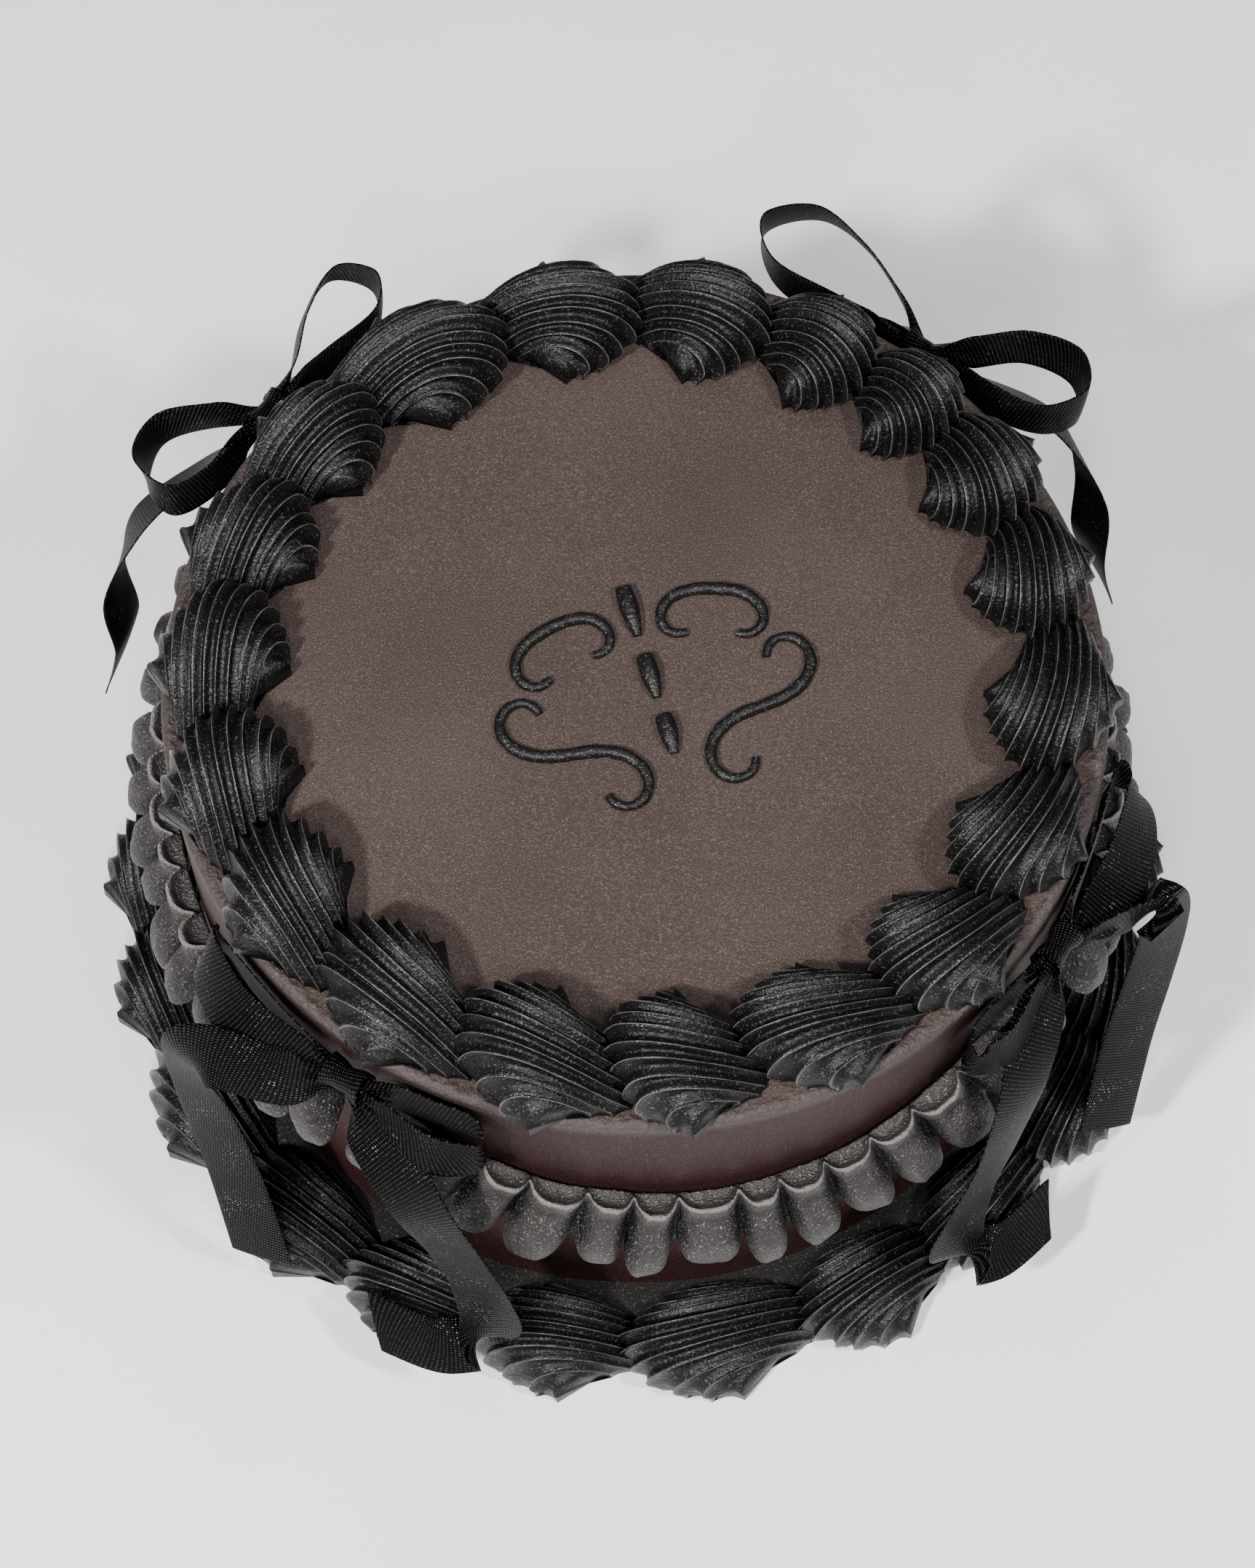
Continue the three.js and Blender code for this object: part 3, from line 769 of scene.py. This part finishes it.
# %% Rule for a swag
def swag_rule(start_bow, end_bow):
    start, end = start_bow + ruffle["end_gap"], end_bow - ruffle["end_gap"]
    lobes = round((end - start) / ruffle["lobe"])
    sizes = np.array([1 + uneven["lobe"] * next(draw) for _ in range(3 * lobes + 1)])
    hand = np.random.default_rng(int(start_bow))
    leans = hand.uniform(-1, 1, lobes)
    stretch = np.concatenate([[0], hand.uniform(-stretched_by, stretched_by, lobes - 1), [0]])
    proud = hand.uniform(*proud_by, lobes)
    raised = hand.uniform(*raised_by, lobes)
    middle, half = (start_bow + end_bow) / 2, (end_bow - start_bow) / 2
    columns = lobes * steps_per_lobe + 1

    def rule(column, row):
        along = column / steps_per_lobe
        lobe = np.minimum(along.astype(int), lobes - 1)
        phase = along - lobe
        row = row % len(fold_outline)
        cup_swell = np.minimum(1.18 * np.sin(pi * phase), 1) ** 0.5
        steep = np.clip(1.45 * np.sin(pi * phase) - 0.22, 0, 1)
        tongue_swell = steep ** np.where(row < tongue_rows, 0.5, 0.28)
        swell = np.where(row < cup_rows, cup_swell, tongue_swell)
        out, down = mix(fold_outline[row], lobe_outline[row], swell[:, None]).T
        size = np.interp(along * 3, np.arange(len(sizes)), sizes)
        low = down > tongue_top
        out = np.where(low, mix(strip_back, out, size), out)
        down = np.where(low, tongue_top + (down - tongue_top) * size, down)
        out = mix(strip_back, out, 1 + proud[lobe] * swell)
        down = down - raised[lobe] * swell
        lean = leans[lobe] * swell * np.clip(down - leans_from, 0, 14) * leaning_by
        along = along + np.interp(along, np.arange(lobes + 1), stretch)
        angle = mix(start, end, along / lobes)
        across = (angle - middle) / half
        slope = np.arctan2(2 * ruffle["sag"] * across, radians(half) * cake_radius)
        turn = angle + np.degrees((down * np.sin(slope) + lean) / cake_radius)
        height = ruffle["rim_low"] + ruffle["sag"] * across ** 2 - down * np.cos(slope)
        # The mark paints light and shade: rows 4 and 5, the rim of the cup, get the full painted highlight and
        # rows 3 and 6 most of it; the cup's inside, the folds between lobes and the underside of the tongue get
        # low marks, which paint them in shade
        rim = np.where((row == 4) | (row == 5), 1.0, np.where((row == 3) | (row == 6), 0.7, 0.45 * swell))
        rim = np.where(row < 3, 0.15 + 0.45 * swell, np.where(row > 12, 0.1, rim))
        return polar(turn, cake_radius + out, height), rim
    return columns, len(fold_outline) + 1, rule


print("a lobe has", steps_per_lobe, "by", len(fold_outline), "points")

# %% [markdown]
# One swag is piped from each bow to the next, and the last one back to the first. A level of subdivision
# rounds the net, and lumps finer than those of the shells roughen it, because a ruffle tears a little at its
# thin rim.

# %% Swags in place
for i, start_bow in enumerate(bow_angles):
    end_bow = bow_angles[i + 1] if i + 1 < len(bow_angles) else bow_angles[0] + 360
    piece = laid_grid(f"swag_ruffle_{i + 1:02d}", *swag_rule(start_bow, end_bow))
    closed_up(piece)
    add_and_apply(piece, "SUBSURF", levels=1, render_levels=1)
    handled(piece, *lumps_of["ruffle"])
    dressed(piece, ruffling, "piped_icing", f"swag_{i + 1:02d}")
    print("swag", i + 1, len(piece.data.polygons), "faces")


# %% [markdown]
# ## Satin bows
# A bow is one length of ribbon, so it stays as wide as it was cut, 12.7 mm, everywhere but in its knot, where
# it is gathered into pleats. Each strand follows a smooth route from the knot, and at every place of that
# route a second direction says which way the ribbon's width points. A flat grid is laid along it and Solidify
# gives the cloth its thickness. The UV map is written in metres, for the weave.

# %% Bow routes
# A place is its angle, distance from the cake's axis and height, then the way from one edge of the ribbon
# to the other: turned from straight down towards larger angles, and leaning outwards
bows = {
    "back_right": dict(
        knot=[53, 98.8, 99.5, 0, 0],
        loops=[
            [[59, 107, 100, 0, 20], [65, 114, 101, 0, 25], [71, 117.5, 102, 0, 20],
             [76, 111.5, 102, 0, 15], [74, 103, 101, 0, 10], [66, 98.6, 100, 0, 0]],
            [[48.5, 105, 101, 0, 0], [44.5, 114, 101, 0, 0], [39.5, 118.5, 100, 0, -5],
             [36, 114, 99, 0, -5], [37, 105, 99, 0, 5], [43, 99.5, 99, 0, 0]]],
        tails=[
            [[46, 105, 94, 20, 30], [38, 113, 86, 50, 30], [33, 115.5, 72, 80, 5],
             [31, 115, 52, 90, 0], [31, 122, 28, 90, 10]],
            [[59, 105, 92, -40, 30], [64, 111, 78, -80, 5], [66, 113, 56, -90, 0],
             [68, 122, 28, -90, 10]]]),
    "back_left": dict(
        knot=[140, 98.8, 99.5, 0, 0],
        loops=[
            [[134.5, 102, 101, 0, 15], [129, 110, 102, 0, 20], [123.5, 115, 103, 0, 20],
             [120, 109, 102, 0, 15], [122, 101, 101, 0, 5], [130, 98.4, 100, 0, 0]],
            [[144.5, 107, 101, 0, 10], [149, 114, 101, 0, 0], [153.5, 112.5, 100, 0, -10],
             [155, 104.5, 99, 0, 0], [149, 98.8, 99, 0, 0]]],
        tails=[
            [[148, 104, 94, -20, 30], [156, 112.5, 86, -50, 30], [160, 116, 72, -80, 5],
             [161, 115, 52, -90, 0], [161, 122, 28, -90, 10]],
            [[134, 105, 92, 40, 30], [130, 111, 78, 80, 5], [128, 113, 56, 90, 0],
             [126, 122, 28, 90, 10]]]),
    "front_left": dict(
        knot=[236, 97.4, 99.5, 0, 10],
        loops=[
            [[229.6, 100.4, 101, 0, 25], [221, 102.5, 101, 0, 38], [214, 99.5, 101, 0, 25],
             [213, 96, 100.2, 0, 0], [220, 95.2, 100.2, 0, 0], [228, 95.8, 100, 0, 0]],
            [[242, 100.5, 98.5, 0, 15], [248.5, 102.5, 98, 0, 15], [253, 99.5, 99, 0, 5],
             [252, 96, 99.5, 0, 0], [246, 95.4, 99.5, 0, 0]]],
        tails=[
            [[229.5, 104.5, 97, 10, 40], [223, 110.5, 96, 25, 40], [220, 113.5, 89, 70, 0],
             [221, 113.5, 70, 90, -22], [225, 115, 44, 90, -25], [229.5, 119.5, 16, 90, -25]],
            [[242, 103, 94, -45, 35], [248, 109.5, 84, -60, 15], [252, 111, 66, -65, 0],
             [254.5, 112, 46, -75, 0], [255, 114.5, 29, -60, 20], [250.5, 118, 21, 0, 40],
             [243, 118, 18, 0, 40]]]),
    "front_right": dict(
        knot=[326.5, 97.4, 100, 0, 10],
        loops=[
            [[333, 101, 100.5, 0, 40], [341, 102.5, 100, 0, 45], [348.5, 100.5, 99, 0, 25],
             [350, 96.2, 99, 0, 0], [342, 95.2, 99.5, 0, 0], [334, 95.6, 99.5, 0, 0]],
            [[320.5, 100.5, 97.5, 0, 10], [314.5, 102.5, 96, 0, 10], [310.5, 99.5, 97, 0, 5],
             [312, 96, 98.5, 0, 0], [318, 95.4, 99.5, 0, 0]]],
        tails=[
            [[331, 102.5, 98, 5, 5], [334.2, 107, 98.5, 12, 10], [336.8, 110.8, 95, 38, 22],
             [338, 112.8, 87, 68, 32], [337.8, 113.6, 75, 86, 38], [336, 114, 58, 90, 40],
             [333, 114.8, 40, 90, 38], [328.5, 118, 16, 90, 32]],
            [[320, 102, 93, 45, 35], [315, 107.5, 83, 60, 15], [311, 110.5, 63, 65, 0],
             [307.5, 112, 44, 75, 0], [306, 114.5, 28, 60, 20], [310.5, 118, 20, 0, 40],
             [317.5, 118.5, 18, 0, 40]]]),
}
ribbon_width, ribbon_thickness = 12.7, 0.32
gathered_share, gathered_length = 0.35, 9.0
knot_size = (9.0, 5.5, 8.0)
strand_step, strand_columns, band_columns, band_rows = 0.8, 13, 9, 33
pleat_depth, curl_depth, cut_zone = 1.0, 0.35, 9
cuts = (3, -5)
in_the_knot = 0.2
print(len(bows), "bows")

# %% [markdown]
# A strand starts at the knot, where it is drawn together into pleats, and opens to its full width within a
# few millimetres. Its edges curl back slightly, and a tail ends in a slanting cut. The pleats and the curl
# are offsets along the cloth's own normal, so the cloth bends and hardly stretches.

# %% Ribbon strand
def measured_uv(piece, length, width):
    """Turns the grid's own map, from 0 to 1 each way, into metres along and across the ribbon"""
    uv = piece.data.uv_layers.active.data
    flat = np.zeros(len(uv) * 2)
    uv.foreach_get("uv", flat)
    uv.foreach_set("uv", (flat.reshape(-1, 2)[:, ::-1] * (length * MM, width * MM)).ravel())


def ribbon_strand(name, places, looped, cut):
    places = np.array(places, float)
    turn, lean = np.radians(places[:, 3]), np.radians(places[:, 4])
    outward = polar(places[:, 0], 1.0, 0.0) / MM
    sideways = polar(places[:, 0] + 90, 1.0, 0.0) / MM
    width_way = (outward * np.sin(lean)[:, None] + sideways * (np.cos(lean) * np.sin(turn))[:, None]
                 - np.array([0, 0, 1]) * (np.cos(lean) * np.cos(turn))[:, None])
    route = np.hstack([polar(places[:, 0], places[:, 1], places[:, 2]) / MM, width_way])
    count = int(np.ceil(through(route, 3)[1][-1] / strand_step))
    laid, along = through(route, count)
    middle, across = laid[:, :3], laid[:, 3:]
    tangent = np.gradient(middle, axis=0)
    tangent /= np.linalg.norm(tangent, axis=1, keepdims=True)
    across = across - tangent * (across * tangent).sum(1, keepdims=True)
    across /= np.linalg.norm(across, axis=1, keepdims=True)
    facing = np.cross(tangent, across)
    length = along[-1]
    from_knot = np.minimum(along, length - along) if looped else along
    opened = np.clip(from_knot / gathered_length, 0, 1)
    opened = opened * opened * (3 - 2 * opened)
    width = ribbon_width * mix(gathered_share, 1, opened)

    def rule(column, row):
        share = column / (strand_columns - 1) - 0.5
        pleats = np.sin(share * 5 * pi + 0.6) * (1 - opened[row]) * pleat_depth
        curl = -curl_depth * (share * 2) ** 2 * opened[row]
        slant = cut * share * np.clip((along[row] - length + cut_zone) / cut_zone, 0, 1) ** 2
        points = (middle[row] + across[row] * (share * width[row])[:, None]
                  + facing[row] * (pleats + curl)[:, None] + tangent[row] * slant[:, None])
        return points * MM, None
    strand = laid_grid(name, strand_columns, count, rule)
    measured_uv(strand, length, ribbon_width)
    add_and_apply(strand, "SOLIDIFY", thickness=ribbon_thickness * MM, offset=0)
    return strand, length


print("a strand is", strand_columns, "points wide")

# %% [markdown]
# The knot is the same ribbon taken once round the strands. Its band is a short tube, pinched in the middle,
# whose width runs along the cake's side.

# %% Knot band
def knot_band(name, knot):
    long_way, out_way, up_way = (size / 2 for size in knot_size)
    centre = polar(knot[0], knot[1], knot[2])
    outward, sideways = polar(knot[0], 1.0, 0.0), polar(knot[0] + 90, 1.0, 0.0)

    def rule(column, row):
        share = column / (band_columns - 1) * 2 - 1
        turn = row / (band_rows - 1) * 2 * pi
        pinch = 1 - 0.16 * np.cos(share * pi) + 0.05 * np.sin(share * 7 + np.cos(turn) * 2)
        points = (centre + outward * (np.cos(turn) * out_way * pinch)[:, None]
                  + sideways * (share * long_way * (1 - 0.12 * np.sin(turn) ** 2))[:, None]
                  + np.array([0, 0, MM]) * (np.sin(turn) * up_way * pinch)[:, None])
        return points, None
    band = laid_grid(name, band_columns, band_rows, rule)
    round_it = 2 * pi * (out_way + up_way) / 2
    only(band)
    bpy.ops.object.mode_set(mode="EDIT")
    bpy.ops.mesh.select_all(action="SELECT")
    bpy.ops.mesh.remove_doubles(threshold=0.02 * MM)
    bpy.ops.object.mode_set(mode="OBJECT")
    measured_uv(band, round_it, 2 * long_way)
    add_and_apply(band, "SOLIDIFY", thickness=ribbon_thickness * MM, offset=0)
    return band, round_it


print("a knot band has", band_columns, "by", band_rows, "points")

# %% [markdown]
# Each bow is put together from its knot, two loops and two tails and joined into one piece. Its
# flat length is the sum of its strands and the turn of the knot.

# %% Bows in place
for name, bow in bows.items():
    band, length = knot_band(f"{name}_knot", bow["knot"])
    strands = [band]
    for kind, looped in (("loops", True), ("tails", False)):
        for i, places in enumerate(bow[kind]):
            knot = np.array(bow["knot"], float)
            route = [mix(knot, np.array(places[0], float), in_the_knot), *places]
            if looped:
                route.append(mix(knot, np.array(places[-1], float), in_the_knot))
            cut = 0 if looped else cuts[i]
            strand, strand_length = ribbon_strand(f"{name}_{kind}_{i}", route, looped, cut)
            strands.append(strand)
            length += strand_length
    bpy.ops.object.select_all(action="DESELECT")
    for strand in strands:
        strand.select_set(True)
    bpy.context.view_layer.objects.active = strands[0]
    bpy.ops.object.join()
    ribbon = bpy.context.object
    ribbon.name = ribbon.data.name = f"bow_ribbon_{name}"
    dressed(ribbon, satin, "satin_ribbon", f"bow_{name}")
    length * MM
    print(name, "ribbon", round(length), "mm")
